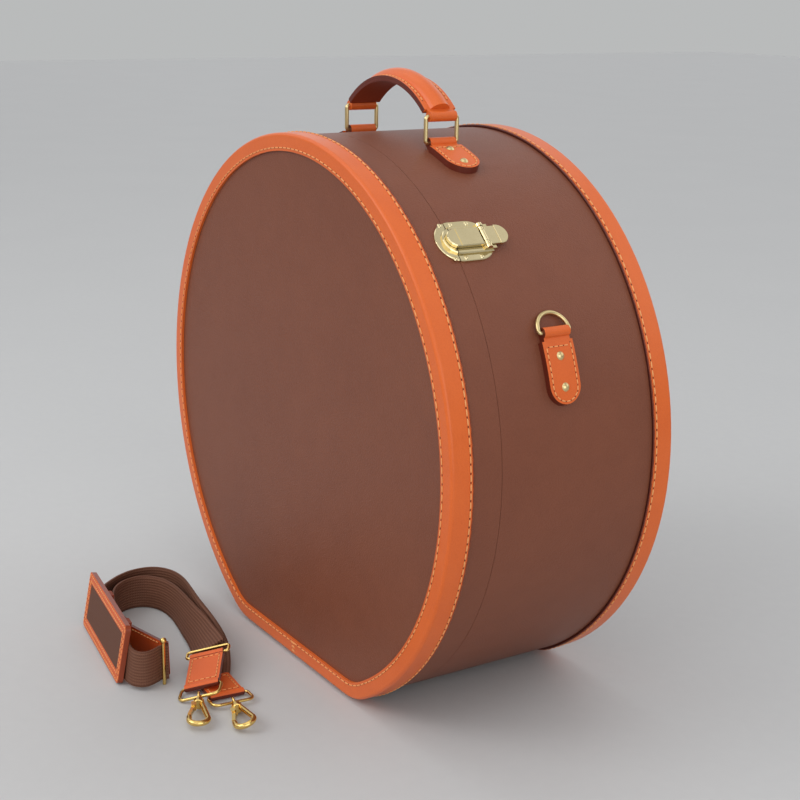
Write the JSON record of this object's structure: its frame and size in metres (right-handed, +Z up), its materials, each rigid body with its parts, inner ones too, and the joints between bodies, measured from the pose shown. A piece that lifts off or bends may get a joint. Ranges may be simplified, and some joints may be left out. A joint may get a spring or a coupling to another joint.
{
  "type": "hat box",
  "caption": "Round hat box with a flat base, hinged front lid, top handle, toggle latches, side D-rings and a loose shoulder strap.",
  "frame": {"origin": "on the standing surface, below the middle of the box (the loose strap left out)", "axes": "+Z up, -Y out of the lid, +X to the right seen from the front"},
  "size_m": [0.4338, 0.3297, 0.4608],
  "materials": {
    "leatherette": "fine pebble grain, satin",
    "orange_leather": "smooth, satin",
    "dark_leather": "flesh side, matte",
    "board": "grey board, matte",
    "lining": "plain cotton",
    "filler": "raw",
    "polished_gold": "polished, pale gold plate",
    "satin_gold": "satin gold plate",
    "thread": "waxed thread",
    "edge_paint": "painted leather edge",
    "webbing": "ribbed woven webbing",
    "pad_webbing": "ribbed woven webbing"
  },
  "bodies": {
    "case": {"case_back_cover": "leatherette", "case_wall_cover": "leatherette", "case_wall": "board", "case_back_panel": "board", "case_lining_back": "lining", "case_lining_wall": "lining", "back_trim": "orange_leather", "locating_collar": "board", "case_feet": "polished_gold", "handle_tab_right": "orange_leather", "handle_tab_left": "orange_leather", "dring_tab_right": "orange_leather", "dring_tab_left": "orange_leather", "latch_base_right": "polished_gold", "latch_base_left": "polished_gold", "latch_pins": "polished_gold", "hinge_case_leaves": "polished_gold", "hinge_pins": "polished_gold", "tab_rivets": "satin_gold", "case_small_rivets": "polished_gold"},
    "lid": {"lid_front_cover": "leatherette", "lid_wall_cover": "leatherette", "lid_wall": "board", "lid_front_panel": "board", "lid_lining_front": "lining", "lid_lining_wall": "lining", "front_trim": "orange_leather", "latch_catch_right": "polished_gold", "latch_catch_left": "polished_gold", "hinge_lid_leaves": "polished_gold", "lid_small_rivets": "polished_gold"},
    "handle": {"handle_top_leather": "orange_leather", "handle_filler": "filler", "handle_under_leather": "dark_leather"},
    "ring_right": {"handle_ring_right": "satin_gold"},
    "ring_left": {"handle_ring_left": "satin_gold"},
    "dring_right": {"dring_right": "satin_gold"},
    "dring_left": {"dring_left": "satin_gold"},
    "lever_right": {"latch_lever_right": "polished_gold"},
    "lever_left": {"latch_lever_left": "polished_gold"},
    "claw_right": {"latch_claw_right": "polished_gold"},
    "claw_left": {"latch_claw_left": "polished_gold"},
    "strap": {"strap_web_inner": "webbing", "strap_web_outer": "webbing", "strap_link": "orange_leather", "strap_slider": "polished_gold", "strap_pad": "orange_leather", "strap_pad_inset": "pad_webbing", "strap_pad_keepers": "dark_leather", "strap_tab_a": "orange_leather", "strap_square_ring": "polished_gold", "strap_ring_a": "polished_gold", "strap_tab_b": "orange_leather", "strap_ring_b": "polished_gold", "hook_eye_a": "polished_gold", "hook_eye_b": "polished_gold"},
    "hook_a": {"snap_hook_a": "polished_gold"},
    "gate_a": {"hook_gate_a": "polished_gold"},
    "hook_b": {"snap_hook_b": "polished_gold"},
    "gate_b": {"hook_gate_b": "polished_gold"}
  },
  "joints": [
    {"name": "lid_hinge", "type": "hinge", "parent": "case", "child": "lid", "pos_m": [0, -0.0533, 0.0022], "axis": [1, 0, 0], "range_deg": [0, 38]},
    {"name": "handle_ring_left_swing", "type": "hinge", "parent": "case", "child": "ring_left", "pos_m": [-0.0565, -0.0015, 0.41004], "axis": [0, 1, 0], "range_deg": [-35, 35]},
    {"name": "handle_swing", "type": "hinge", "parent": "ring_left", "child": "handle", "pos_m": [-0.0565, -0.0015, 0.42904], "axis": [0, 1, 0], "range_deg": [-35, 35]},
    {"name": "handle_ring_right_swing", "type": "hinge", "parent": "case", "child": "ring_right", "pos_m": [0.0565, -0.0015, 0.41004], "axis": [0, 1, 0], "range_deg": [-35, 35]},
    {"name": "dring_right_swing", "type": "hinge", "parent": "case", "child": "dring_right", "pos_m": [0.19586, 0.0005, 0.29643], "axis": [0, 1, 0], "range_deg": [0, 150]},
    {"name": "dring_left_swing", "type": "hinge", "parent": "case", "child": "dring_left", "pos_m": [-0.19586, 0.0005, 0.29643], "axis": [0, -1, 0], "range_deg": [0, 150]},
    {"name": "latch_lever_right_lift", "type": "hinge", "parent": "case", "child": "lever_right", "pos_m": [0.15114, -0.0284, 0.35717], "axis": [0.7252, 0, -0.6886], "range_deg": [0, 90]},
    {"name": "latch_claw_right_lift", "type": "hinge", "parent": "case", "child": "claw_right", "pos_m": [0.15114, -0.0284, 0.35717], "axis": [-0.7252, 0, 0.6886], "range_deg": [0, 27]},
    {"name": "latch_lever_left_lift", "type": "hinge", "parent": "case", "child": "lever_left", "pos_m": [-0.15114, -0.0284, 0.35717], "axis": [0.7252, 0, 0.6886], "range_deg": [0, 90]},
    {"name": "latch_claw_left_lift", "type": "hinge", "parent": "case", "child": "claw_left", "pos_m": [-0.15114, -0.0284, 0.35717], "axis": [-0.7252, 0, -0.6886], "range_deg": [0, 27]},
    {"name": "strap_slide_away", "type": "slide", "parent": "case", "child": "strap", "axis": [0, -1, 0], "range_m": [0, 0.15]},
    {"name": "hook_a_swivel", "type": "hinge", "parent": "strap", "child": "hook_a", "pos_m": [0.04136, -0.1969, 0.00577], "axis": [0.9071, -0.421, 0], "continuous": true},
    {"name": "gate_a_opening", "type": "hinge", "parent": "hook_a", "child": "gate_a", "pos_m": [0.04765, -0.20378, 0.00577], "axis": [0, 0, 1], "range_deg": [0, 22]},
    {"name": "hook_b_swivel", "type": "hinge", "parent": "strap", "child": "hook_b", "pos_m": [0.0596, -0.17491, 0.00428], "axis": [0.969, -0.2397, 0.0599], "continuous": true},
    {"name": "gate_b_opening", "type": "hinge", "parent": "hook_b", "child": "gate_b", "pos_m": [0.06717, -0.18032, 0.0037], "axis": [-0.1288, -0.2828, 0.9505], "range_deg": [0, 22]}
  ],
  "couplings": [
    {"joint": "handle_swing", "follows": "handle_ring_left_swing", "ratio": -1},
    {"joint": "handle_ring_right_swing", "follows": "handle_ring_left_swing", "ratio": 1},
    {"joint": "latch_claw_right_lift", "follows": "latch_lever_right_lift", "ratio": 0.3},
    {"joint": "latch_claw_left_lift", "follows": "latch_lever_left_lift", "ratio": 0.3}
  ]
}
